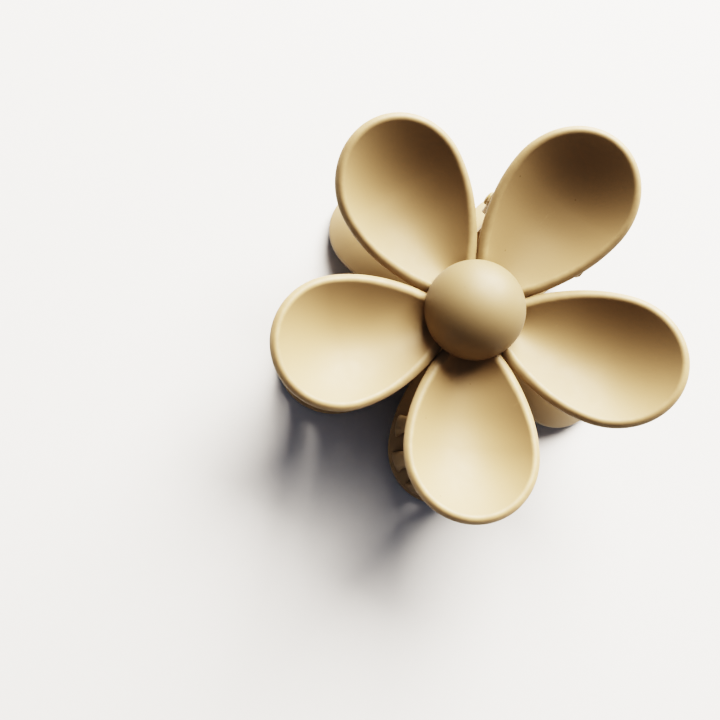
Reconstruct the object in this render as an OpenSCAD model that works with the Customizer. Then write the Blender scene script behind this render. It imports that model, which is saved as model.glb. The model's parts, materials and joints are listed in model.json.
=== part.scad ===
// Flower hair claw clip: two five-petal flowers back to back on a sprung hinge.
// +Y points to the handle petals, -Y to the jaws. The clip lies on its rear flower's petal tips.
// Each half is drawn in its own flower frame: v to the handle, w out of the flower's face.

/* [Petals] */
// Distance from the flower's centre to a petal's tip
petal_reach = 40; // [38:0.5:44]
// Greatest half-width of a petal
petal_half_w = 12.9; // [12:0.1:13.5]
// Distance from the flower's centre to where a petal is widest
petal_wide_at = 27; // [26:0.2:28]
// Half-width of a petal just outside the dome
petal_neck_w = 6.4; // [5.8:0.1:6.5]
// How quickly a petal widens from its neck
petal_flare = 0.85; // [0.75:0.05:1]
// Height of the petal tips above the flower's base plane
tip_rise = 11.6; // [11:0.1:13]
// How late the petals curl up towards their tips
curl = 1.6; // [1.5:0.05:1.9]
// Depth of a petal's hollow where it is widest
hollow = 4.8; // [4:0.1:5.2]
// Depth of a petal's hollow where it meets the hub
root_hollow = 2; // [1.5:0.1:2.4]
// Thickness of the moulded wall
wall = 2.2; // [2:0.1:2.4]
// Radius of the rim's inner corner
rim_in_r = 0.85; // [0.7:0.05:0.9]
// Radius of the rim's outer corner
rim_out_r = 1.05; // [0.8:0.05:1.1]

/* [Centre] */
// Radius of the hub between the petals
hub_r = 9.2; // [9:0.1:9.4]
// Height of the hub's face, where the dome sits
hub_top = 1.5; // [1.4:0.05:1.7]
// Radius of the centre dome
dome_r = 9.9; // [9.7:0.1:10]
// Height of the dome's middle above the base plane
dome_mid = 1.5; // [1.5:0.1:1.8]
// Radius of the dome's peg
peg_r = 2.5; // [2:0.1:3]
// Length of the dome's peg in the hub
peg_len = 2.6; // [2:0.1:2.8]

/* [Hinge] */
// Distance of the pin from the flower's centre, towards the handle
pin_v = 23; // [22:0.5:23.5]
// Distance of the pin behind the flower's base plane
pin_depth = 9; // [9:0.1:10]
// Angle between the two flowers when the clip is closed
closed_angle = 8; // [6:0.5:9]
// Radius of the hinge pin
pin_r = 1; // [0.9:0.05:1.1]
// Running gap round the pin in the ears
pin_gap = 0.05; // [0.02:0.01:0.1]
// Thickness of each hinge ear
ear_t = 2; // [1.8:0.1:2.2]
// Radius of an ear's rounded end
ear_r = 3.1; // [2.8:0.1:3.3]
// Distance from the middle to the outer face of the front half's ears
ear_outer_u = 11.4; // [11.2:0.1:11.6]
// Side gap between the two halves' ears
ear_gap = 0.3; // [0.25:0.05:0.5]
// Radius of the pin's heads
pin_head_r = 1.5; // [1.3:0.1:1.7]

/* [Spring] */
// Radius of the spring wire
wire_r = 0.55; // [0.5:0.05:0.6]
// Radius of the coil, to the middle of the wire
coil_r = 2.4; // [2.2:0.1:2.5]
// Half-length of the coil, to the middle of the wire
coil_half = 5; // [4.8:0.1:5.3]
// Whole turns in the coil
coil_turns = 6; // [5:1:7]

/* [Teeth] */
// Distance between neighbouring teeth, front to rear, along the rim
tooth_pitch = 4.2; // [4:0.1:4.3]
// Half-width of a tooth at its root
tooth_half_w = 2.2; // [1.8:0.1:2.4]
// Half-thickness of a tooth at its root
tooth_half_t = 1.1; // [1:0.1:1.2]
// How far the teeth reach past the middle plane
tooth_overlap = 3; // [2:0.5:4]
// How far the tip of a tooth bends in
tooth_bend = 3.5; // [2:0.5:4]
// Share of a tooth's width that is left at its tip
tooth_taper = 0.5; // [0.4:0.05:0.7]

/* [Hidden] */
$fn = 96;
petals = 5;
half_step = 180 / petals;             // half the angle between two petals
petal_gap = 0.05;                     // from a petal's side to the line between it and the next
root_r = hub_r + 0.15;                // the petals' root faces stand just clear of the hub
neck_at = 9;                          // where petal_neck_w is measured
tip_len = petal_reach - petal_wide_at;

side_stations = 6;                    // cross-sections from the root to the widest place
tip_stations = 5;                     // and on round the tip to its middle
last = side_stations + tip_stations;
shell_rows = [0.14, 0.36, 0.56, 0.74, 0.88, 1];
in_angles = [60, 30, 0];              // points round the rim's inner and outer corners
out_angles = [-30, -60, -90];
rim_share = 0.85;                     // of the wall, first guess at how far the rim reaches in
rim_reach = 1.2;                      // from a petal's outline in to the crest of its rim

hub_low = bowl(root_r) - root_hollow - wall - 0.1;
hub_bevel = 0.6;
hub_floor = 1;                        // left under the peg's bore
peg_gap = 0.05;
dome_lift = 0.02;                     // hair-line gap under the dome

jaw_n = norm([tip_len * cos(half_step), petal_half_w * sin(half_step)]);
jaw_rho = petal_wide_at + tip_len * tip_len * cos(half_step) / jaw_n;
jaw_s = petal_half_w * petal_half_w * sin(half_step) / jaw_n;
jaw_v = petal_wide_at * cos(half_step) + jaw_n;
jaw_w = bowl(norm([jaw_rho, jaw_s])) - wall / 2;
front_jaw_y = -(jaw_v + pin_v) * cos(closed_angle) - (jaw_w + pin_depth) * sin(closed_angle);
pin_y = -(front_jaw_y + petal_reach - pin_v) / 2;
pin_z = pin_depth + tip_rise;

inner_ear_u = ear_outer_u - ear_t - ear_gap;
front_ear_root = [[18, 2.3], [27.5, 4.6]];
rear_ear_root = [[16, 1.2], [27, 3]];
arm_end = [pin_v + 8, 1];             // where a spring arm bears on the back of a handle petal
arm_reach = norm([arm_end[0] - pin_v, arm_end[1] + pin_depth]);
arm_lean = atan2(arm_end[1] + pin_depth, arm_end[0] - pin_v);
arm_turn = arm_lean + acos(coil_r / arm_reach);
coil_angle = 360 * coil_turns + 360 - 2 * arm_turn - closed_angle;
coil_steps = 16 * coil_turns;
arm_steps = 3;                        // steps of the coil that belong to the front arm
coil_cut = 0.4;                       // gap that frees the front arm from the coil
tooth_first = -4.2;
teeth_per_jaw = 4;
tooth_inset = 1.5;                    // from the rim in to the middle of a tooth's root
tooth_root_depth = 0.9 * wall;        // from the rim's height down to the top of a tooth
tooth_rings = 8;
tooth_sides = 12;
tooth_end = [0.85, 0.45];             // the last two rings shrink by this much, for a round tip

stem = ear_outer_u + 0.15;            // half-length of the pin between its heads
head_len = 1;
head_profile = [[0, 0], [1, 0], [1, 0.4], [0.7, 0.85], [0, 1]];
wire_sides = 8;

shell_colour = "#c9b48a";
steel_colour = "#b9b9b4";
JAW = 2 * 360 / petals;
SIDE = 360 / petals;

// Height of the bowl that the petals' rims lie on, at distance d from the flower's centre
function bowl(d) = tip_rise * pow(d / (petal_reach - rim_reach), curl);

function bowl_slope(d) = curl * bowl(d) / d;

// Half-width of a petal at distance rho along its axis, up to its widest place
function half_width(rho) =
    min(petal_neck_w + (petal_half_w - petal_neck_w)
            * pow(sin(90 * max(0, (rho - neck_at) / (petal_wide_at - neck_at))), petal_flare),
        rho * tan(half_step) - petal_gap / cos(half_step));

// How far a cross-section that follows the hub's round wall falls back at s from the axis
function root_sag(s) = s * s / (2 * root_r) * (1 + s * s / (4 * root_r * root_r));

// Each station is [spine rho, half-width, sag share, direction of the section, hollow]
function side_station(t) =
    let (rho = root_r * cos(half_step) + (petal_wide_at - root_r * cos(half_step)) * t,
         l = half_width(rho),
         sag = (1 - t) * (1 - t))
    [rho + sag * root_sag(l), l, sag, [0, 1], root_hollow + (hollow - root_hollow) * sin(90 * t)];

function tip_station(a) =
    let (rim = [tip_len * sin(a), petal_half_w * cos(a)])
    [petal_wide_at, norm(rim), 0, rim / norm(rim), hollow];

function station(j) =
    j <= side_stations ? side_station(j / side_stations)
                       : tip_station(90 * (j - side_stations) / tip_stations);

// Plan point [rho, s] at distance r from the spine on a station
function plan(st, r) = [st[0] - st[2] * root_sag(r), 0] + r * st[3];

// Slope of the hollow's surface at share q of its half-width
function slope(st, r, q, edge) =
    let (p = plan(st, r)) bowl_slope(norm(p)) * (p * st[3]) / norm(p) + 2 * st[4] * q / edge;

// One closed half cross-section, [s, rho, w] points: the face, the rim cut square to the wall
// with its two rounded corners, and the back
function section(st) =
    let (phi = atan(slope(st, st[1], 1, st[1] - rim_share * wall)),
         end_mid = st[1] - rim_out_r * (1 - cos(phi)) - (wall / 2 - rim_out_r) * sin(phi),
         corner = end_mid - wall / 2 * sin(phi),
         in_s = corner - rim_in_r * (cos(phi) - sin(phi)),
         in_w = bowl(norm(plan(st, in_s))) - rim_in_r,
         corner_w = in_w + rim_in_r * (sin(phi) + cos(phi)),
         out_s = corner + (wall - rim_out_r) * sin(phi) - rim_out_r * cos(phi),
         out_w = corner_w - (wall - rim_out_r) * cos(phi) - rim_out_r * sin(phi),
         edge = corner - rim_in_r * cos(phi),
         drop = bowl(norm(plan(st, edge))) - corner_w + rim_in_r * sin(phi),
         face = [for (q = shell_rows)
             [q * edge, bowl(norm(plan(st, q * edge))) - st[4] * (1 - q * q) - drop * q * q]],
         rim = [for (a = in_angles)
                    [in_s + rim_in_r * cos(phi + a), in_w + rim_in_r * sin(phi + a)],
                for (a = out_angles)
                    [out_s + rim_out_r * cos(phi + a), out_w + rim_out_r * sin(phi + a)]],
         back = [for (k = [len(shell_rows) - 2:-1:0])
             let (f = atan(slope(st, face[k][0], shell_rows[k], edge)))
             [face[k][0] + wall * sin(f), face[k][1] - wall * cos(f)]])
    [for (p = concat(face, rim, back)) let (xy = plan(st, p[0])) [xy[1], xy[0], p[1]]];

function mirrored(points) = [for (p = points) [-p[0], p[1], p[2]]];

// One petal, its axis along +Y of the flower frame
module petal_shell() {
    sections = [for (j = [0:last]) section(station(j))];
    around = concat(sections, [for (j = [last - 1:-1:0]) mirrored(sections[j])]);
    rows = len(sections[0]);
    ends = 2 * last;
    mid = (rows - 1) / 2;
    function at(j, k) = j * rows + k;
    skin = [for (j = [0:ends - 1]) for (k = [0:rows - 2])
        [at(j, k), at(j + 1, k), at(j + 1, k + 1), at(j, k + 1)]];
    face_strip = [for (j = [0:last - 1])
        j == last - 1 ? [at(ends - j, 0), at(j + 1, 0), at(j, 0)]
                      : [at(ends - j, 0), at(ends - j - 1, 0), at(j + 1, 0), at(j, 0)]];
    back_strip = [for (j = [0:last - 1])
        j == last - 1
            ? [at(j, rows - 1), at(j + 1, rows - 1), at(ends - j, rows - 1)]
            : [at(j, rows - 1), at(j + 1, rows - 1),
               at(ends - j - 1, rows - 1), at(ends - j, rows - 1)]];
    root_right = [for (k = [0:mid - 1])
        k == mid - 1 ? [at(0, k + 1), at(0, rows - 1 - k), at(0, k)]
                     : [at(0, k + 1), at(0, rows - 2 - k), at(0, rows - 1 - k), at(0, k)]];
    root_left = [for (k = [0:mid - 1])
        k == mid - 1 ? [at(ends, k), at(ends, rows - 1 - k), at(ends, k + 1)]
                     : [at(ends, k), at(ends, rows - 1 - k),
                        at(ends, rows - 2 - k), at(ends, k + 1)]];
    root_mid = [[at(ends, rows - 1), at(ends, 0), at(0, 0), at(0, rows - 1)]];
    polyhedron(
        points = [for (s = around) for (p = s) p],
        faces = concat(skin, face_strip, back_strip, root_right, root_left, root_mid),
        convexity = 6);
}

module petal(turn) color(shell_colour) rotate([0, 0, -turn]) petal_shell();

// Round boss that the petals grow from, bored for the dome's peg
module hub() {
    color(shell_colour) difference() {
        rotate_extrude()
            polygon([[0, hub_low], [hub_r - hub_bevel, hub_low], [hub_r, hub_low + hub_bevel],
                     [hub_r, hub_top], [0, hub_top]]);
        translate([0, 0, hub_low + hub_floor]) cylinder(r = peg_r + peg_gap, h = hub_top - hub_low);
    }
}

// Ball-shaped button on the hub, with its peg
module dome() {
    color(shell_colour) union() {
        intersection() {
            translate([0, 0, dome_mid]) sphere(r = dome_r);
            translate([0, 0, hub_top + dome_lift]) cylinder(r = 2 * dome_r, h = 2 * dome_r);
        }
        translate([0, 0, hub_top - peg_len]) cylinder(r = peg_r, h = peg_len + 1);
    }
}

// One ear: a plate from the handle petal's back to the pin, its outer face at u
module ear(root, u) {
    lean = atan2(root[1][1] - root[0][1], root[1][0] - root[0][0]);
    side = [ear_r * cos(lean), ear_r * sin(lean)];
    translate([u - ear_t, 0, 0]) rotate([90, 0, 90]) difference() {
        linear_extrude(height = ear_t) union() {
            polygon([root[0], root[1], [pin_v, -pin_depth] + side, [pin_v, -pin_depth] - side]);
            translate([pin_v, -pin_depth]) circle(r = ear_r);
        }
        translate([pin_v, -pin_depth, -1]) cylinder(r = pin_r + pin_gap, h = ear_t + 2);
    }
}

module hinge_ears(root, u) color(shell_colour) {
    ear(root, u);
    ear(root, ear_t - u);
}

// Point on a jaw petal's rim, q along it from the widest place, and the way in from there
function rim_point(q) =
    let (a = q / petal_half_w * 180 / PI)
    q < 0 ? [half_width(petal_wide_at + q), petal_wide_at + q]
          : [petal_half_w * cos(a), petal_wide_at + tip_len * sin(a)];

function rim_inward(q) =
    let (step = rim_point(q + 0.2) - rim_point(q - 0.2)) [-step[1], step[0]] / norm(step);

// Height of the middle plane between the halves, seen from a flower frame at v
function middle_w(v) = -pin_depth - (v - pin_v) * tan(closed_angle / 2);

// One tooth: a tapering claw from the rim's back, bending in towards its rounded tip
module tooth(q) {
    inward = rim_inward(q);
    along = [inward[1], -inward[0]];
    foot = rim_point(q) + tooth_inset * inward;
    v = foot[1] * cos(JAW) - foot[0] * sin(JAW);
    top = bowl(norm(rim_point(q))) - tooth_root_depth;
    low = middle_w(v) - tooth_overlap;
    rings = [for (i = [0:tooth_rings])
        let (t = i / tooth_rings,
             end = i == tooth_rings ? tooth_end[1] : i == tooth_rings - 1 ? tooth_end[0] : 1,
             shrink = (1 - (1 - tooth_taper) * t) * end,
             mid = foot + tooth_bend * t * t * inward)
        [for (n = [0:tooth_sides - 1])
            let (a = 360 * n / tooth_sides,
                 p = mid + along * tooth_half_w * shrink * cos(a)
                         + inward * tooth_half_t * (1 + shrink) / 2 * sin(a))
            [p[0], p[1], top + (low - top) * t]]];
    sweep(rings);
}

// Closed solid through a list of rings with equal numbers of points
module sweep(rings) {
    n = len(rings[0]);
    m = len(rings);
    walls = [for (i = [0:m - 2]) for (k = [0:n - 1])
        [i * n + k, i * n + (k + 1) % n, (i + 1) * n + (k + 1) % n, (i + 1) * n + k]];
    first = [[for (k = [n - 1:-1:0]) k]];
    final = [[for (k = [0:n - 1]) (m - 1) * n + k]];
    polyhedron(points = [for (r = rings) for (p = r) p], faces = concat(walls, first, final),
               convexity = 4);
}

// The teeth on the right jaw petal; every second place along the rim belongs to the other half
module teeth(start) color(shell_colour) rotate([0, 0, -JAW])
    for (i = [0:teeth_per_jaw - 1]) tooth(tooth_first + tooth_pitch * (2 * i + start));

// Steel pin with a rounded head outside each of the outer ears
module hinge_pin_solid() {
    reach = stem + head_len / 4;
    color(steel_colour) rotate([0, 90, 0]) union() {
        translate([0, 0, -reach]) cylinder(r = pin_r, h = 2 * reach);
        for (side = [0, 1]) mirror([0, 0, side]) translate([0, 0, stem])
            rotate_extrude() polygon([for (p = head_profile) [pin_head_r * p[0], head_len * p[1]]]);
    }
}

// Ring of the spring wire about point p of the (v, w) plane at u, its frame turned by angle a
function wire_ring(p, u, a) =
    [for (n = [0:wire_sides - 1]) let (f = -360 * n / wire_sides)
        [u + wire_r * sin(f), p[0] + wire_r * cos(f) * cos(a), p[1] + wire_r * cos(f) * sin(a)]];

// The coil winds from the rear arm at -arm_turn round to the front arm at arm_turn + closed_angle
function coil_ring(t) =
    let (a = -arm_turn - coil_angle * t)
    wire_ring(coil_r * [cos(a), sin(a)], coil_half * (2 * t - 1), a);

// The arm leaves the coil at angle a and bears on a petal arm_reach from the pin
function arm_ring(u, a, lean, t) =
    let (from = coil_r * [cos(a), sin(a)], to = arm_reach * [cos(lean), sin(lean)])
    wire_ring(from + (to - from) * t, u, a);

// The coil with its rear arm, about the pin
module spring_coil_solid() {
    cut = coil_cut / (coil_r * PI / 180 * coil_angle);
    color(steel_colour) sweep(concat(
        [for (t = [1:-0.25:0.25]) arm_ring(-coil_half, -arm_turn, -arm_lean, t)],
        [for (i = [0:coil_steps - arm_steps - 1]) coil_ring(i / coil_steps)],
        [coil_ring((coil_steps - arm_steps) / coil_steps - cut)]));
}

// The end of the coil with the front arm, about the pin
module spring_front_arm_solid()
    color(steel_colour) sweep(concat(
        [for (i = [coil_steps - arm_steps:coil_steps]) coil_ring(i / coil_steps)],
        [for (t = [0.25:0.25:1])
            arm_ring(coil_half, arm_turn + closed_angle, arm_lean + closed_angle, t)]));

// Places a flower frame's children on the rear half, face down
module rear() translate([0, pin_y, pin_z]) mirror([0, 0, 1]) translate([0, -pin_v, pin_depth])
    children();

// Places a flower frame's children on the front half, face up and open by the closed angle
module front() translate([0, pin_y, pin_z]) rotate([closed_angle, 0, 0])
    translate([0, -pin_v, pin_depth]) children();

module on_pin() translate([0, pin_y, pin_z]) children();

module rear_hub() rear() hub();
module rear_dome() rear() dome();
module rear_petal_handle() rear() petal(0);
module rear_petal_side_left() rear() petal(-SIDE);
module rear_petal_side_right() rear() petal(SIDE);
module rear_petal_jaw_left() rear() petal(-JAW);
module rear_petal_jaw_right() rear() petal(JAW);
module rear_hinge_ears() rear() hinge_ears(rear_ear_root, inner_ear_u);
module rear_teeth_left() rear() mirror([1, 0, 0]) teeth(0);
module rear_teeth_right() rear() teeth(0);
module front_hub() front() hub();
module front_dome() front() dome();
module front_petal_handle() front() petal(0);
module front_petal_side_left() front() petal(-SIDE);
module front_petal_side_right() front() petal(SIDE);
module front_petal_jaw_left() front() petal(-JAW);
module front_petal_jaw_right() front() petal(JAW);
module front_hinge_ears() front() hinge_ears(front_ear_root, ear_outer_u);
module front_teeth_left() front() mirror([1, 0, 0]) teeth(1);
module front_teeth_right() front() teeth(1);
module hinge_pin() on_pin() hinge_pin_solid();
module spring_coil() on_pin() spring_coil_solid();
module spring_front_arm() on_pin() spring_front_arm_solid();

rear_hub();
rear_dome();
rear_petal_handle();
rear_petal_side_left();
rear_petal_side_right();
rear_petal_jaw_left();
rear_petal_jaw_right();
rear_hinge_ears();
rear_teeth_left();
rear_teeth_right();
front_hub();
front_dome();
front_petal_handle();
front_petal_side_left();
front_petal_side_right();
front_petal_jaw_left();
front_petal_jaw_right();
front_hinge_ears();
front_teeth_left();
front_teeth_right();
hinge_pin();
spring_coil();
spring_front_arm();
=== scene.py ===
"""Looks of the flower hair clip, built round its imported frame. Sizes are in millimetres."""

import json
from math import acos, atan, atan2, cos, hypot, pi, radians, sin, tan

import bmesh
import bpy
import numpy as np
from mathutils import Matrix, Vector


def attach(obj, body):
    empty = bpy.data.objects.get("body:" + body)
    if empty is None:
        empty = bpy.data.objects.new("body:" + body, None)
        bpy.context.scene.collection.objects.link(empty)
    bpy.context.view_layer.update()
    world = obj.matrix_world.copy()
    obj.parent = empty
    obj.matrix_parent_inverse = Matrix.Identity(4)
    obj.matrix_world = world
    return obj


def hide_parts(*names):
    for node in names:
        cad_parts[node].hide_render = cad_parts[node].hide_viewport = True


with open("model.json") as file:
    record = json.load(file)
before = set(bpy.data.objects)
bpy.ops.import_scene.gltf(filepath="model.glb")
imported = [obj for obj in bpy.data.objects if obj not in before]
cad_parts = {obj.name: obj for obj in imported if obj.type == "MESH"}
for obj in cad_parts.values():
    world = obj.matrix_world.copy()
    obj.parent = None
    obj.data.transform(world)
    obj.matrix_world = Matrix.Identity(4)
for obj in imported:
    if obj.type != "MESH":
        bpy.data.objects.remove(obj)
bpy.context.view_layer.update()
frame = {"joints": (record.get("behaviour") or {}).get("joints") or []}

MM = 0.001
MERGE_WITHIN = 1e-7     # metres: points of a mesh this close become one

# ---------------------------------------------------------------- petals
REACH = 40.0            # flower's centre to a petal's tip
HALF_W = 12.9           # greatest half-width of a petal
WIDE_AT = 27.0          # where along its axis a petal is widest
NECK_W = 6.4            # half-width just outside the dome
NECK_AT = 9.0           # where the neck's half-width is measured
FLARE = 0.85            # how quickly a petal widens from its neck
TIP_RISE = 11.6         # the rims lie on a bowl that is this high at the tips
CURL = 1.6              # how late the bowl rises
HOLLOW = 4.8            # depth of a petal's hollow at its widest
ROOT_HOLLOW = 2.0       # and where it meets the hub
WALL = 2.2              # thickness of the moulding
RIM_IN_R = 0.85         # the rim's inner corner
RIM_OUT_R = 1.05        # the rim's outer corner
RIM_REACH = 1.2         # from a petal's outline in to the crest of its rim
RIM_SHARE = 0.85        # of the wall, first guess at how far the rim reaches in
BACK_BLEND = 0.5        # the back's offset turns from straight down to square within this share
PETAL_GAP = 0.05        # from a petal's side to the line between it and the next
SIDE_STATIONS, TIP_STATIONS = 40, 30        # cross-sections beside the spine and round the tip
FACE_ROWS = [sin(pi / 2 * k / 20) for k in range(21)]
IN_TURNS = [radians(75 - 15 * k) for k in range(6)]     # round the rim's inner corner
OUT_TURNS = [-radians(6 * k) for k in range(16)]        # and round its outer corner
RUBBED_OUT_TURNS = 8    # of them fingers rub bare, the rest only a little
LIGHT_RUB = 0.35        # wear beside the fully rubbed band

# ---------------------------------------------------------------- centre
HUB_R = 9.2
HUB_TOP = 1.5           # height of the hub's face
HUB_LOW_R = 0.9         # rounding of the hub's lower edge
HUB_TOP_R = 0.3         # and of its upper edge
HUB_FLOOR = 1.0         # left under the bore
HUB_UNDER = 0.1         # the hub reaches this far below the petals' roots
ROOT_GAP = 0.15         # from the hub to the petals' root faces
DOME_R = 9.9
DOME_MID = 1.5          # height of the ball's middle
DOME_LIFT = 0.02        # hair-line gap under the dome
DOME_EDGE_R = 0.25      # rounding where the dome sits
PEG_R = 2.5
PEG_LEN = 2.6
PEG_GAP = 0.05
LEAD_IN = 0.3           # chamfers of the peg and its bore

# ---------------------------------------------------------------- hinge and spring
PIN_V = 23.0            # the pin stands this far behind the flower's centre
PIN_DEPTH = 9.0         # and this far below its base plane
CLOSED = radians(8)     # angle between the two flowers
PIN_R = 1.0
PIN_HEAD_R = 1.5
PIN_STEM_GAP = 0.15     # from an outer ear to the pin's head
HEAD_SIDE, HEAD_CROWN = 0.4, 0.6            # height of a head's straight side and of its crown
HEAD_EASE = 0.15        # chamfer under a head
BORE_R = 1.05
BORE_CHAMFER = 0.15
EAR_T = 2.0
EAR_R = 3.1             # rounded end of an ear
EAR_OUTER_U = 11.4      # outer face of the front half's ears
EAR_GAP = 0.3           # between the two halves' ears
EAR_EDGE_R = 0.4        # rounding of a plate's edges
EAR_RUB = 0.6           # wear on those edges
EAR_FLARE = 0.45        # how much thicker an ear grows at the petal that it stands on
EAR_FLARE_FROM, EAR_FLARE_OVER = -3, 5      # height where that begins, and its length
EAR_FLATS = [0.25, 0.5, 0.75, 0.92]         # rows across a plate's face
EAR_SIDES = 96
FRONT_EAR_ROOT = ((18, 2.3), (27.5, 4.6))   # ends of an ear's foot in the petal: (v, w)
REAR_EAR_ROOT = ((16, 1.2), (27, 3))
WIRE_R = 0.55
WIRE_SIDES = 20
COIL_R = 2.4
COIL_HALF = 5.0         # half-length of the coil
COIL_TURNS = 6
COIL_STEPS = 48         # rings to a turn
COIL_CUT = 0.4          # gap that frees the front arm from the coil
FRONT_ARM_SHARE = 3 / (16 * COIL_TURNS)     # of the winding that rides with the front half
HIDDEN_TURN = radians(42)                   # of thinner wire that reaches back inside the coil
HIDDEN_THIN = 0.94
ARM_END = (PIN_V + 8, 1.0)                  # where an arm bears on a handle petal: (v, w)

# ---------------------------------------------------------------- claws
CLAWS_PER_JAW = 4
CLAW_PITCH = 4.2        # between neighbours, front to rear, along the rim
CLAW_FIRST = -4.2       # place of the first, from the petal's widest point
CLAW_HALF_W = 2.2
CLAW_HALF_T = 1.1
CLAW_INSET = 1.5        # from the rim in to the middle of a claw's root
CLAW_DEPTH = 0.9 * WALL + 0.1               # from the rim down to the top of a claw
CLAW_OVERLAP = 3.0      # how far the claws reach past the middle plane
CLAW_BEND = 3.5         # how far the tip bends in
CLAW_TAPER = 0.5        # width left at the tip
CLAW_FLARE, CLAW_FLARE_END = 0.22, 0.16     # wider at the root, over this share of the length
CLAW_SLIM, CLAW_SLIM_END = 0.65, 0.12       # thinner inside the wall, over this share
CLAW_SQUARE = 2.6       # roundness of a claw's section: 2 is an ellipse
CLAW_TIP_AT = 0.88      # share of the length where the tip starts to round off
CLAW_TIP_ROUND = 2.2
CLAW_SIDES = 24

STEP = 2 * pi / 5
HALF_STEP = STEP / 2
SIDE, JAW = STEP, 2 * STEP
TIP_LEN = REACH - WIDE_AT
ROOT_R = HUB_R + ROOT_GAP
ROOT_RHO = ROOT_R * cos(HALF_STEP)

hinge = frame["joints"][0]
pin_y, pin_z = hinge["pos_m"][1] / MM, hinge["pos_m"][2] / MM


# ---------------------------------------------------------------- placing and building
def on_rear(points):
    """Flower frame (u across, v to the handle, w out of the face) to the rear half, face down."""
    u, v, w = np.asarray(points, float).T
    return np.stack([u, v - PIN_V + pin_y, pin_z - w - PIN_DEPTH], 1)


def on_front(points):
    """Flower frame to the front half, face up and open by the closed angle."""
    u, v, w = np.asarray(points, float).T
    y, z = v - PIN_V, w + PIN_DEPTH
    return np.stack([u, pin_y + y * cos(CLOSED) - z * sin(CLOSED),
                     pin_z + y * sin(CLOSED) + z * cos(CLOSED)], 1)


def on_pin(points):
    return np.asarray(points, float) + (0, pin_y, pin_z)


def turned(points, angle):
    """Turned clockwise about the flower's centre."""
    u, v, w = np.asarray(points, float).T
    return np.stack([u * cos(angle) + v * sin(angle), v * cos(angle) - u * sin(angle), w], 1)


def mirrored(points):
    return np.asarray(points, float) * (-1, 1, 1)


def grid_faces(rows, cols, start, close_rows, close_cols):
    """Quads of a grid of rows x cols points, numbered from start."""
    faces = []
    for i in range(rows if close_rows else rows - 1):
        for k in range(cols if close_cols else cols - 1):
            a, b = i * cols, (i + 1) % rows * cols
            n = (k + 1) % cols
            faces.append([start + a + k, start + b + k, start + b + n, start + a + n])
    return faces


class Shape:
    """Points, each with a wear share (1 on a rim that fingers rub), and faces."""

    def __init__(self):
        self.points, self.rubbed, self.faces = [], [], []

    def grid(self, rings, rubbed=None, close_rows=False, close_cols=False):
        rows, cols = len(rings), len(rings[0])
        start = len(self.points)
        self.points += [tuple(p) for ring in rings for p in ring]
        self.rubbed += [0.0] * (rows * cols) if rubbed is None else list(np.ravel(rubbed))
        self.faces += grid_faces(rows, cols, start, close_rows, close_cols)
        return start

    def cap(self, start, count):
        self.faces.append(list(range(start, start + count)))

    def tube(self, rings, rubbed=None):
        """Closed solid through rings of equal length."""
        start = self.grid(rings, rubbed, close_cols=True)
        self.cap(start, len(rings[0]))
        self.cap(start + (len(rings) - 1) * len(rings[0]), len(rings[0]))

    def lathe(self, profile, sides=96):
        """Turned solid from (radius, height) points that start and end on the axis."""
        turns = [2 * pi * n / sides for n in range(sides)]
        self.grid([[(r * cos(a), r * sin(a), h) for a in turns] for r, h in profile],
                  close_cols=True)

    def placed(self, *moves):
        for move in moves:
            self.points = [tuple(p) for p in move(np.array(self.points))]
        return self


def make(name, shape, material, body, node, sharp=40):
    """Turns a shape into a piece that rides on a body and stands for a CAD node."""
    mesh = bpy.data.meshes.new(name)
    mesh.from_pydata((np.array(shape.points) * MM).tolist(), [], shape.faces)
    mesh.attributes.new("rubbed", "FLOAT", "POINT").data.foreach_set(
        "value", np.array(shape.rubbed, np.float32))
    solid = bmesh.new()
    solid.from_mesh(mesh)
    bmesh.ops.remove_doubles(solid, verts=solid.verts, dist=MERGE_WITHIN)
    bmesh.ops.dissolve_degenerate(solid, edges=solid.edges, dist=MERGE_WITHIN / 10)
    bmesh.ops.recalc_face_normals(solid, faces=solid.faces)
    solid.to_mesh(mesh)
    solid.free()
    mesh.shade_smooth()
    mesh.set_sharp_from_angle(angle=radians(sharp))
    mesh.materials.append(material)
    obj = bpy.data.objects.new(name, mesh)
    bpy.context.scene.collection.objects.link(obj)
    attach(obj, body)
    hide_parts(node)


# ---------------------------------------------------------------- petals in mesh
def bowl(d):
    """Height of the bowl that the rims lie on, at distance d from the flower's centre."""
    return TIP_RISE * (d / (REACH - RIM_REACH)) ** CURL


def bowl_slope(d):
    return CURL * bowl(d) / d


def half_width(rho):
    """Half-width of a petal at rho along its axis, up to its widest place."""
    along = max(0.0, (rho - NECK_AT) / (WIDE_AT - NECK_AT))
    free = NECK_W + (HALF_W - NECK_W) * sin(pi / 2 * min(1.0, along)) ** FLARE
    return min(free, rho * tan(HALF_STEP) - PETAL_GAP / cos(HALF_STEP))


def root_sag(s):
    """How far a cross-section that follows the hub's round wall falls back at s."""
    return s * s / (2 * ROOT_R) * (1 + s * s / (4 * ROOT_R * ROOT_R))


def side_station(t):
    """(spine, half-width, sag share, direction, hollow) of a cross-section beside the spine."""
    rho = ROOT_RHO + (WIDE_AT - ROOT_RHO) * t
    wide = half_width(rho)
    sag = (1 - t) ** 2
    return (rho + sag * root_sag(wide), wide, sag, (0.0, 1.0),
            ROOT_HOLLOW + (HOLLOW - ROOT_HOLLOW) * sin(pi / 2 * t))


def tip_station(angle):
    """The same for a cross-section that turns round the tip."""
    rim = (TIP_LEN * sin(angle), HALF_W * cos(angle))
    wide = hypot(*rim)
    return WIDE_AT, wide, 0.0, (rim[0] / wide, rim[1] / wide), HOLLOW


def plan(station, r):
    """Plan point (along, across) at distance r from the spine on a station."""
    spine, _, sag, way, _ = station
    return spine - sag * root_sag(r) + r * way[0], r * way[1]


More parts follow.
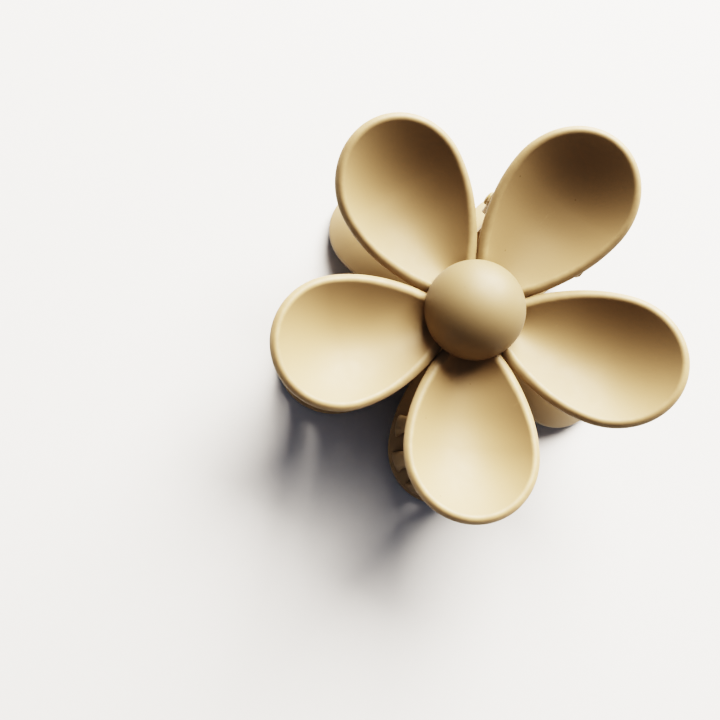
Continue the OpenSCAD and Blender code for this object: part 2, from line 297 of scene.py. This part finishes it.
def surface_slope(station, r, q, edge):
    """Slope of the hollow's surface at r, which is the share q of the way to its edge."""
    p, s = plan(station, r)
    way, d = station[3], hypot(p, s)
    return bowl_slope(d) * (p * way[0] + s * way[1]) / d + 2 * station[4] * q / edge


def smooth(x):
    """Eases from 0 to 1."""
    x = min(1.0, max(0.0, x))
    return x * x * (3 - 2 * x)


def petal_section(station):
    """Half cross-section from the spine's face over the rim to the spine's back. The rim
    stands square to the wall, with both of its corners well rounded."""
    wide, deep = station[1], station[4]
    lean = atan(surface_slope(station, wide, 1, wide - RIM_SHARE * WALL))
    c, s = cos(lean), sin(lean)
    corner = wide - RIM_OUT_R * (1 - c) - (WALL - RIM_OUT_R) * s
    in_r = corner - RIM_IN_R * (c - s)
    in_w = bowl(hypot(*plan(station, in_r))) - RIM_IN_R
    corner_w = in_w + RIM_IN_R * (s + c)
    out_r = corner + (WALL - RIM_OUT_R) * s - RIM_OUT_R * c
    out_w = corner_w - (WALL - RIM_OUT_R) * c - RIM_OUT_R * s
    edge = corner - RIM_IN_R * c
    drop = bowl(hypot(*plan(station, edge))) - corner_w + RIM_IN_R * s

    def face_point(q):
        return q * edge, bowl(hypot(*plan(station, q * edge))) - deep * (1 - q * q) - drop * q * q

    section = [face_point(q) for q in FACE_ROWS]
    section += [(in_r + RIM_IN_R * cos(lean + a), in_w + RIM_IN_R * sin(lean + a))
                for a in IN_TURNS]
    section += [(out_r + RIM_OUT_R * cos(lean + a), out_w + RIM_OUT_R * sin(lean + a))
                for a in OUT_TURNS]
    back_share = 1 - (RIM_OUT_R - RIM_IN_R) * c / edge
    for q in FACE_ROWS[-2::-1]:
        r, w = face_point(q * back_share)
        slant = atan(surface_slope(station, r, q * back_share, edge)) * smooth(q / BACK_BLEND)
        section.append((r + WALL * sin(slant), w - WALL * cos(slant)))
    points = []
    for r, w in section:
        p, across = plan(station, r)
        points.append((across, p, w))
    return points


def petal_shape():
    """One petal along +v of the flower frame, closed, with its root face at the hub."""
    stations = [side_station(n / SIDE_STATIONS) for n in range(SIDE_STATIONS + 1)]
    stations += [tip_station(pi / 2 * n / TIP_STATIONS) for n in range(1, TIP_STATIONS + 1)]
    sections = [petal_section(s) for s in stations]
    rows = len(sections[0])
    face = len(FACE_ROWS)
    rub = [0.0] * rows
    for k in range(face - 2, rows - face + 1):
        rub[k] = 1.0 if face <= k < face + len(IN_TURNS) + RUBBED_OUT_TURNS else LIGHT_RUB
    around = sections + [[(-s, p, w) for s, p, w in sec] for sec in sections[-2::-1]]
    shape = Shape()
    start = shape.grid(around, [rub] * len(around))
    ends = (start, start + (len(around) - 1) * rows)
    for end in ends:                    # root face: face and back rows joined in pairs
        for k in range(rows // 2):
            shape.faces.append([end + k, end + k + 1, end + rows - 2 - k, end + rows - 1 - k])
    return shape


# ---------------------------------------------------------------- centre in mesh
def arc(centre, radius, first, last, steps):
    """Points on a circle between two angles in degrees."""
    return [(centre[0] + radius * cos(radians(first + (last - first) * k / steps)),
             centre[1] + radius * sin(radians(first + (last - first) * k / steps)))
            for k in range(steps + 1)]


def hub_shape():
    """Boss that the petals grow from, with the bore for the dome's peg. A row of points close
    to each rounding keeps the flats beside it flat to the eye."""
    low = bowl(ROOT_R) - ROOT_HOLLOW - WALL - HUB_UNDER
    floor_w, bore, ease = low + HUB_FLOOR, PEG_R + PEG_GAP, HUB_TOP_R
    foot = HUB_R - HUB_LOW_R
    shape = Shape()
    shape.lathe([(0, low), (4, low), (foot - 0.3, low)]
                + arc((foot, low + HUB_LOW_R), HUB_LOW_R, -90, 0, 6)
                + [(HUB_R, HUB_TOP - ease - 0.1)]
                + arc((HUB_R - ease, HUB_TOP - ease), ease, 0, 90, 3)
                + [(bore + 0.5, HUB_TOP), (bore, HUB_TOP - LEAD_IN), (bore, floor_w), (0, floor_w)])
    return shape


def dome_shape():
    """Ball-shaped button with a fine rounded edge where it sits on the hub, and its peg."""
    seat, foot = HUB_TOP + DOME_LIFT, HUB_TOP - PEG_LEN
    rise = seat + DOME_EDGE_R - DOME_MID
    equator = (DOME_R ** 2 - rise ** 2) ** 0.5
    ball = [(DOME_R * cos(a), DOME_MID + DOME_R * sin(a))
            for a in np.linspace(atan2(rise, equator), pi / 2, 48)]
    edge = arc((equator - DOME_EDGE_R, seat + DOME_EDGE_R), DOME_EDGE_R, -90, 0, 4)[:-1]
    peg = [(0, foot), (PEG_R - LEAD_IN, foot), (PEG_R, foot + LEAD_IN), (PEG_R, seat)]
    shape = Shape()
    shape.lathe(peg + edge + ball)
    return shape


# ---------------------------------------------------------------- hinge in mesh
def ear_shape(root, u):
    """One ear plate from the handle petal's back to the pin; its outer face stands at u."""
    lean = atan2(root[1][1] - root[0][1], root[1][0] - root[0][0])
    side = np.array([EAR_R * cos(lean), EAR_R * sin(lean)])
    outline = [np.array(root[0]) - (PIN_V, -PIN_DEPTH), np.array(root[1]) - (PIN_V, -PIN_DEPTH),
               side, -side]

    def reach(angle):
        """Distance from the pin to the ear's outline."""
        way = np.array([cos(angle), sin(angle)])
        best = EAR_R
        for a, b in zip(outline, outline[1:] + outline[:1]):
            edge = b - a
            det = way[0] * -edge[1] + way[1] * edge[0]
            if abs(det) > 1e-9:
                t = (a[0] * -edge[1] + a[1] * edge[0]) / det
                s = (way[0] * a[1] - way[1] * a[0]) / det
                if t > 0 and -1e-9 <= s <= 1 + 1e-9:
                    best = max(best, t)
        return best

    soft, inner = EAR_EDGE_R, BORE_R + BORE_CHAMFER
    mid, half = u - EAR_T / 2, EAR_T / 2
    rings, share = [], []
    for n in range(EAR_SIDES):
        angle = 2 * pi * n / EAR_SIDES
        far, way = reach(angle), (cos(angle), sin(angle))
        rows = [inner + (far - soft - inner) * f for f in EAR_FLATS]
        profile = [(BORE_R, -half + BORE_CHAMFER), (inner, -half)]
        profile += [(r, -half) for r in rows]
        profile += arc((far - soft, -half + soft), soft, -90, 0, 4)
        profile += arc((far - soft, half - soft), soft, 0, 90, 4)
        profile += [(r, half) for r in rows[::-1]]
        profile += [(inner, half), (BORE_R, half - BORE_CHAMFER)]
        ring = []
        for r, across in profile:
            v, w = PIN_V + r * way[0], -PIN_DEPTH + r * way[1]
            flare = 1 + EAR_FLARE * smooth((w - EAR_FLARE_FROM) / EAR_FLARE_OVER)
            ring.append((mid + across * flare, v, w))
        rings.append(ring)
        share.append([EAR_RUB if abs(r - far) < soft else 0.0 for r, _ in profile])
    shape = Shape()
    shape.grid(rings, share, close_rows=True, close_cols=True)
    return shape


def ears_shape(root, u):
    """The ear at u and its mirror image."""
    shape = Shape()
    for way in (1, -1):
        ear = ear_shape(root, u)
        start = len(shape.points)
        shape.points += [(way * p[0], p[1], p[2]) for p in ear.points]
        shape.rubbed += ear.rubbed
        shape.faces += [[start + i for i in f] for f in ear.faces]
    return shape


def pin_shape():
    """Pin with a low domed head at each end, its axis along u."""
    stem = EAR_OUTER_U + PIN_STEM_GAP
    crown = [(PIN_HEAD_R * cos(a), stem + HEAD_SIDE + HEAD_CROWN * sin(a))
             for a in np.linspace(0, pi / 2, 9)]
    right = [(PIN_R, stem - 0.02), (PIN_HEAD_R - HEAD_EASE, stem),
             (PIN_HEAD_R, stem + HEAD_EASE)] + crown
    left = [(r, -h) for r, h in right[::-1]]
    shape = Shape()
    shape.lathe(left + right, sides=48)
    shape.points = [(z, x, y) for x, y, z in shape.points]
    return shape


# ---------------------------------------------------------------- spring in mesh
arm_reach = hypot(ARM_END[0] - PIN_V, ARM_END[1] + PIN_DEPTH)
arm_lean = atan2(ARM_END[1] + PIN_DEPTH, ARM_END[0] - PIN_V)
arm_turn = arm_lean + acos(COIL_R / arm_reach)
coil_angle = 2 * pi * (COIL_TURNS + 1) - 2 * arm_turn - CLOSED
coil_share = 1 - FRONT_ARM_SHARE


def wire_ring(point, u, angle, radius=WIRE_R):
    """Ring of the wire about a (v, w) point of the plane at u, its frame turned by an angle."""
    turns = [2 * pi * n / WIRE_SIDES for n in range(WIRE_SIDES)]
    return [(u + radius * sin(f), point[0] + radius * cos(f) * cos(angle),
             point[1] + radius * cos(f) * sin(angle)) for f in turns]


def coil_rings(first, last, radius=WIRE_R):
    """Rings of the winding between two shares of its length."""
    steps = max(4, round(abs(last - first) * COIL_STEPS * COIL_TURNS))
    rings = []
    for t in np.linspace(first, last, steps + 1):
        a = -arm_turn - coil_angle * t
        rings.append(wire_ring((COIL_R * cos(a), COIL_R * sin(a)),
                               COIL_HALF * (2 * t - 1), a, radius))
    return rings


def arm_rings(u, angle, lean):
    """Straight arm from the coil to the back of a petal, with a rounded end."""
    start = np.array([COIL_R * cos(angle), COIL_R * sin(angle)])
    end = arm_reach * np.array([cos(lean), sin(lean)])
    reach = np.linalg.norm(end - start)
    body = [wire_ring(start + (end - start) * t, u, angle)
            for t in np.linspace(0.02, 1 - WIRE_R / reach, 12)]
    tip = []
    for a in np.linspace(0.3, pi / 2 - 0.05, 5):
        along = 1 - WIRE_R / reach * (1 - sin(a))
        tip.append(wire_ring(start + (end - start) * along, u, angle, WIRE_R * cos(a)))
    return body + tip


def coil_shape():
    """The winding with its rear arm."""
    shape = Shape()
    cut = COIL_CUT / (COIL_R * coil_angle)
    shape.tube(arm_rings(-COIL_HALF, -arm_turn, -arm_lean)[::-1]
               + coil_rings(0, coil_share - cut))
    return shape


def front_arm_shape():
    """The last part of the coil and the front arm. A thinner stretch reaches back inside
    the coil, so that the wire stays unbroken as the clip opens."""
    shape = Shape()
    hidden = HIDDEN_TURN / coil_angle
    shape.tube(coil_rings(coil_share - hidden, coil_share, WIRE_R * HIDDEN_THIN)[:-1]
               + coil_rings(coil_share, 1)
               + arm_rings(COIL_HALF, arm_turn + CLOSED, arm_lean + CLOSED))
    return shape


# ---------------------------------------------------------------- claws in mesh
def rim_point(q):
    """Point on a jaw petal's rim, q along it from the widest place: (across, along)."""
    a = q / HALF_W
    if q < 0:
        return np.array([half_width(WIDE_AT + q), WIDE_AT + q])
    return np.array([HALF_W * cos(a), WIDE_AT + TIP_LEN * sin(a)])


def rim_inward(q):
    """Unit direction from the rim at q in over the petal."""
    step = rim_point(q + 0.2) - rim_point(q - 0.2)
    return np.array([-step[1], step[0]]) / np.linalg.norm(step)


def middle_w(v):
    """Height of the plane between the halves, seen from a flower frame at v."""
    return -PIN_DEPTH - (v - PIN_V) * tan(CLOSED / 2)


def claw(shape, q):
    """One claw: flared where it grows from the petal, curved in, with a rounded tip."""
    inward = rim_inward(q)
    along = np.array([inward[1], -inward[0]])
    foot = rim_point(q) + CLAW_INSET * inward
    v = foot[1] * cos(JAW) - foot[0] * sin(JAW)
    top = bowl(hypot(*rim_point(q))) - CLAW_DEPTH
    low = middle_w(v) - CLAW_OVERLAP
    tip_len = 1 - CLAW_TIP_AT
    heights = list(np.linspace(0, CLAW_TIP_AT, 20))
    heights += [CLAW_TIP_AT + tip_len * sin(a) for a in np.linspace(0.2, pi / 2 - 0.08, 7)]
    rings, share = [], []
    for t in heights:
        tip = max(0.0, (t - CLAW_TIP_AT) / tip_len)
        close = (1 - tip ** CLAW_TIP_ROUND) ** 0.5
        shrink = (1 - (1 - CLAW_TAPER) * t) * close
        wide = 1 + CLAW_FLARE * (1 - smooth(t / CLAW_FLARE_END))
        slim = CLAW_SLIM + (1 - CLAW_SLIM) * smooth(t / CLAW_SLIM_END)
        mid = foot + CLAW_BEND * t * t * inward
        ring = []
        for n in range(CLAW_SIDES):
            c, s = cos(2 * pi * n / CLAW_SIDES), sin(2 * pi * n / CLAW_SIDES)
            square = (abs(c) ** CLAW_SQUARE + abs(s) ** CLAW_SQUARE) ** (-1 / CLAW_SQUARE)
            p = (mid + along * CLAW_HALF_W * shrink * wide * c * square
                 + inward * CLAW_HALF_T * (1 + shrink) / 2 * slim * close * s * square)
            ring.append((p[0], p[1], top + (low - top) * t))
        rings.append(ring)
        share.append([tip ** 0.5] * CLAW_SIDES)
    shape.tube(rings, share)


def claws_shape(start):
    """The claws on the right jaw petal; every second place along the rim is the other half's."""
    shape = Shape()
    for i in range(CLAWS_PER_JAW):
        claw(shape, CLAW_FIRST + CLAW_PITCH * (2 * i + start))
    return shape


# ---------------------------------------------------------------- materials
def colour(code):
    """Linear colour from an sRGB hex code."""
    parts = [int(code[i:i + 2], 16) / 255 for i in (1, 3, 5)]
    return [c / 12.92 if c <= 0.04045 else ((c + 0.055) / 1.055) ** 2.4 for c in parts] + [1]


def put(tree, kind, inputs=None, **settings):
    """Adds a node with settings; an input is a value, or (node, output) to link from."""
    node = tree.nodes.new(kind)
    for name, value in settings.items():
        setattr(node, name, value)
    for name, value in (inputs or {}).items():
        if isinstance(value, tuple) and isinstance(value[0], bpy.types.Node):
            tree.links.new(value[0].outputs[value[1]], node.inputs[name])
        else:
            node.inputs[name].default_value = value
    return node


def new_material(name):
    """An empty material with one shader: (material, tree, shader)."""
    material = bpy.data.materials.new(name)
    material.use_nodes = True
    tree = material.node_tree
    tree.nodes.clear()
    shader = put(tree, "ShaderNodeBsdfPrincipled")
    put(tree, "ShaderNodeOutputMaterial", {"Surface": (shader, "BSDF")})
    return material, tree, shader


def in_mm(tree, stretch=(1, 1, 1)):
    """Texture space in millimetres that moves with the piece, ready to link from."""
    place = put(tree, "ShaderNodeTexCoord")
    space = put(tree, "ShaderNodeMapping", {"Vector": (place, "Object"),
                                            "Scale": tuple(s / MM for s in stretch)})
    return space, "Vector"


def link_all(tree, shader, sockets):
    for socket, (node, output) in sockets.items():
        tree.links.new(node.outputs[output], shader.inputs[socket])


# size in mm, detail and roughness of each cloudy pattern in the coat
COAT_PATTERNS = ((16, 2, 0.45),         # spray passes a little thicker and thinner
                 (2.4, 4, 0.6),         # mottle of the gloss, and where wear shows
                 (0.9, 2, 0.4),         # orange peel of the sprayed coat
                 (0.28, 2, 0.6))        # matting grains, coarsened from 0.03 mm
SCUFF_STRETCH = (0.9, 0.11, 0.4)        # long fine scuffs, 9 mm by 1 mm and less
SPECK_PITCH = 7.0                       # mm between specks of dust caught in the coat


def soft_coat(name, body_hex, thin_hex, worn_hex, speck_hex):
    """Soft-touch coat: polyurethane rubber paint sprayed on moulded ABS and air dried. It gives
    the eye a flat, powdery surface with a faint glow at grazing angles, a very low orange peel
    from the spray, and places on the rims that fingers have rubbed a little smoother."""
    material, tree, shader = new_material(name)
    space = in_mm(tree)
    drift, mottle, peel, grain = (
        put(tree, "ShaderNodeTexNoise", {"Vector": space, "Scale": 1 / size, "Detail": detail,
                                         "Roughness": rough})
        for size, detail, rough in COAT_PATTERNS)

    rubbed = put(tree, "ShaderNodeAttribute", attribute_name="rubbed")
    patch = put(tree, "ShaderNodeMapRange", {"Value": (mottle, "Fac"),
                                             "From Min": 0.42, "From Max": 0.68})
    wear = put(tree, "ShaderNodeMath", {0: (rubbed, "Fac"), 1: (patch, "Result")},
               operation="MULTIPLY")

    hair = put(tree, "ShaderNodeTexNoise", {"Vector": in_mm(tree, SCUFF_STRETCH), "Scale": 1.0,
                                            "Detail": 5, "Roughness": 0.55})
    scuff = put(tree, "ShaderNodeMapRange", {"Value": (hair, "Fac"),
                                             "From Min": 0.70, "From Max": 0.74})

    dots = put(tree, "ShaderNodeTexVoronoi", {"Vector": space, "Scale": 1 / SPECK_PITCH,
                                              "Randomness": 1.0})
    speck = put(tree, "ShaderNodeMapRange", {"Value": (dots, "Distance"), "From Min": 0.018,
                                             "From Max": 0.030, "To Min": 1.0, "To Max": 0.0})

    # each layer of colour: where it shows, how strongly, and its colour
    shade = put(tree, "ShaderNodeMix", {0: (drift, "Fac"), 6: colour(thin_hex),
                                        7: colour(body_hex)}, data_type="RGBA")
    for where, output, strength, tint in ((wear, "Value", 0.35, worn_hex),
                                          (scuff, "Result", 0.12, worn_hex),
                                          (speck, "Result", 0.5, speck_hex)):
        share = put(tree, "ShaderNodeMath", {0: (where, output), 1: strength},
                    operation="MULTIPLY")
        shade = put(tree, "ShaderNodeMix", {0: (share, "Value"), 6: (shade, "Result"),
                                            7: colour(tint)}, data_type="RGBA")

    rough = put(tree, "ShaderNodeMapRange", {"Value": (mottle, "Fac"), "From Min": 0.3,
                                             "From Max": 0.7, "To Min": 0.50, "To Max": 0.58})
    polish = put(tree, "ShaderNodeMath", {0: (wear, "Value"), 1: 0.12}, operation="MULTIPLY")
    rough_worn = put(tree, "ShaderNodeMath", {0: (rough, "Result"), 1: (polish, "Value")},
                     operation="SUBTRACT")

    low = put(tree, "ShaderNodeBump", {"Height": (peel, "Fac"), "Strength": 0.10,
                                       "Distance": 0.05 * MM})
    fine = put(tree, "ShaderNodeBump", {"Height": (grain, "Fac"), "Strength": 0.12,
                                        "Distance": 0.02 * MM, "Normal": (low, "Normal")})
    cut = put(tree, "ShaderNodeBump", {"Height": (scuff, "Result"), "Strength": 0.12,
                                       "Distance": 0.01 * MM, "Normal": (fine, "Normal")},
              invert=True)
    link_all(tree, shader, {"Base Color": (shade, "Result"), "Roughness": (rough_worn, "Value"),
                            "Normal": (cut, "Normal")})
    shader.inputs["Sheen Weight"].default_value = 0.06
    shader.inputs["Sheen Roughness"].default_value = 0.5
    shader.inputs["Specular IOR Level"].default_value = 0.32
    return material


def drawn_wire(name):
    """Spring wire: patented carbon steel drawn through dies and nickel flashed. It gives the
    eye a satin grey with fine lines along the wire and a warmer tint where oil has stayed."""
    material, tree, shader = new_material(name)
    lines = put(tree, "ShaderNodeTexNoise", {"Vector": in_mm(tree, (9, 1.5, 1.5)), "Scale": 1.0,
                                             "Detail": 3, "Roughness": 0.5})
    stain = put(tree, "ShaderNodeTexNoise", {"Vector": in_mm(tree), "Scale": 1 / 1.6,
                                             "Detail": 3, "Roughness": 0.55})
    tint = put(tree, "ShaderNodeMix", {0: (stain, "Fac"), 6: colour("#8f8b84"),
                                       7: colour("#b9b6af")}, data_type="RGBA")
    rough = put(tree, "ShaderNodeMapRange", {"Value": (lines, "Fac"), "From Min": 0.3,
                                             "From Max": 0.7, "To Min": 0.28, "To Max": 0.42})
    bump = put(tree, "ShaderNodeBump", {"Height": (lines, "Fac"), "Strength": 0.25,
                                        "Distance": 0.01 * MM})
    link_all(tree, shader, {"Base Color": (tint, "Result"), "Roughness": (rough, "Result"),
                            "Normal": (bump, "Normal")})
    shader.inputs["Metallic"].default_value = 1.0
    return material


def paper_floor(name):
    """Matt coated board: an even, chalky pale grey that the window lights up to near-white."""
    material, tree, shader = new_material(name)
    fibre = put(tree, "ShaderNodeTexNoise", {"Vector": in_mm(tree), "Scale": 1 / 3.0,
                                             "Detail": 4, "Roughness": 0.6})
    shade = put(tree, "ShaderNodeMix", {0: (fibre, "Fac"), 6: colour("#bdc1c9"),
                                        7: colour("#c1c5cd")}, data_type="RGBA")
    link_all(tree, shader, {"Base Color": (shade, "Result")})
    shader.inputs["Roughness"].default_value = 0.9
    shader.inputs["Specular IOR Level"].default_value = 0.1
    return material


coat = soft_coat("soft_touch_beige", "#86745b", "#816f56", "#9c8b6e", "#5c4d36")
# painted shade: the dome's coat is the petals' coat made darker, standing in for the light falling
# off over the ball
button_coat_painted_shade = soft_coat("soft_touch_beige_button_painted_shade", "#756751", "#70624d", "#978565", "#5c4d36")
pin_coat = soft_coat("pin_paint", "#83704f", "#7c6947", "#8a8373", "#51452f")
wire = drawn_wire("drawn_spring_wire")

# ---------------------------------------------------------------- pieces
petals = {"handle": 0, "side_left": -SIDE, "side_right": SIDE, "jaw_left": -JAW, "jaw_right": JAW}
# name, how it is placed, foot and outer face of its ears, place of its first claw
halves = (("rear", on_rear, REAR_EAR_ROOT, EAR_OUTER_U - EAR_T - EAR_GAP, 0),
          ("front", on_front, FRONT_EAR_ROOT, EAR_OUTER_U, 1))
for half, place, ear_root, ear_u, first_claw in halves:
    body, plastic = half + "_half", "soft_touch_plastic"
    make(half + "_hub_boss", hub_shape().placed(place), coat, body, half + "_hub")
    make(half + "_button", dome_shape().placed(place), button_coat_painted_shade, body, half + "_dome")
    for way, angle in petals.items():
        shell = petal_shape().placed(lambda p: turned(p, angle), place)
        make(f"{half}_{way}_petal_shell", shell, coat, body, f"{half}_petal_{way}")
    ears = ears_shape(ear_root, ear_u).placed(place)
    make(half + "_ears", ears, coat, body, half + "_hinge_ears")
    for way in ("left", "right"):
        claws = claws_shape(first_claw).placed(lambda p: turned(p, JAW))
        if way == "left":
            claws.placed(mirrored)
        make(f"{half}_{way}_claws", claws.placed(place), coat, body, f"{half}_teeth_{way}")
make("pin_rod", pin_shape().placed(on_pin), pin_coat, "rear_half", "hinge_pin")
make("spring_winding", coil_shape().placed(on_pin), wire, "rear_half", "spring_coil",
     60)
make("spring_arm", front_arm_shape().placed(on_pin), wire, "front_half", "spring_front_arm",
     60)

# ---------------------------------------------------------------- floor, light and camera
FLOOR_HALF = 2          # metres
floor_mesh = bpy.data.meshes.new("floor")
floor_mesh.from_pydata([(x * FLOOR_HALF, y * FLOOR_HALF, 0)
                        for x, y in ((-1, -1), (1, -1), (1, 1), (-1, 1))], [], [[0, 1, 2, 3]])
floor = bpy.data.objects.new("floor", floor_mesh)
floor_mesh.materials.append(paper_floor("matt_board"))
bpy.context.scene.collection.objects.link(floor)

TURN, TILT = radians(39.6), radians(11.1)      # how the view is turned and tilted
DISTANCE = 139.4                               # from the pin's height to the eye
ASIDE = (-23.3, -10.8)                         # the clip stands right of and above the middle
LENS, SENSOR = 33.57, 36.0
NEAR, FAR = 0.005, 20                          # metres that the camera sees between
AIM_HEIGHT = 0.02                              # metres: the light is aimed at the clip's middle
view_turn = Matrix.Rotation(TILT, 4, "X") @ Matrix.Rotation(TURN, 4, "Z")
eye = Vector((0, 0, pin_z)) + view_turn @ Vector((ASIDE[0], ASIDE[1], DISTANCE))
camera_data = bpy.data.cameras.new("camera")
camera_data.lens, camera_data.sensor_width = LENS, SENSOR
camera_data.clip_start, camera_data.clip_end = NEAR, FAR
camera = bpy.data.objects.new("camera", camera_data)
camera.matrix_world = Matrix.Translation(eye * MM) @ view_turn
bpy.context.scene.collection.objects.link(camera)
bpy.context.scene.camera = camera


def soft_light(name, azimuth, elevation, distance, size, power, tint):
    """Area light aimed at the clip; azimuth is measured from the view's top, clockwise."""
    up, right = view_turn @ Vector((0, 1, 0)), view_turn @ Vector((1, 0, 0))
    flat = cos(radians(azimuth)) * up + sin(radians(azimuth)) * right
    flat.z = 0
    flat.normalize()
    way = flat * cos(radians(elevation)) + Vector((0, 0, sin(radians(elevation))))
    data = bpy.data.lights.new(name, "AREA")
    data.shape, data.size, data.size_y = "RECTANGLE", size[0], size[1]
    data.energy, data.color = power, colour(tint)[:3]
    lamp = bpy.data.objects.new(name, data)
    lamp.location = way * distance + Vector((0, 0, AIM_HEIGHT))
    lamp.rotation_mode = "QUATERNION"
    lamp.rotation_quaternion = way.to_track_quat("Z", "Y")
    bpy.context.scene.collection.objects.link(lamp)


soft_light("window", azimuth=27, elevation=35, distance=0.9, size=(0.78, 0.78), power=49.5,
           tint="#fff1dc")

world = bpy.data.worlds.new("room")
world.use_nodes = True
background = world.node_tree.nodes["Background"]
background.inputs["Color"].default_value = colour("#e3e2e9")
background.inputs["Strength"].default_value = 0.17
bpy.context.scene.world = world
tone = bpy.context.scene.view_settings
tone.view_transform, tone.look, tone.exposure = "Filmic", "Very High Contrast", 0.5
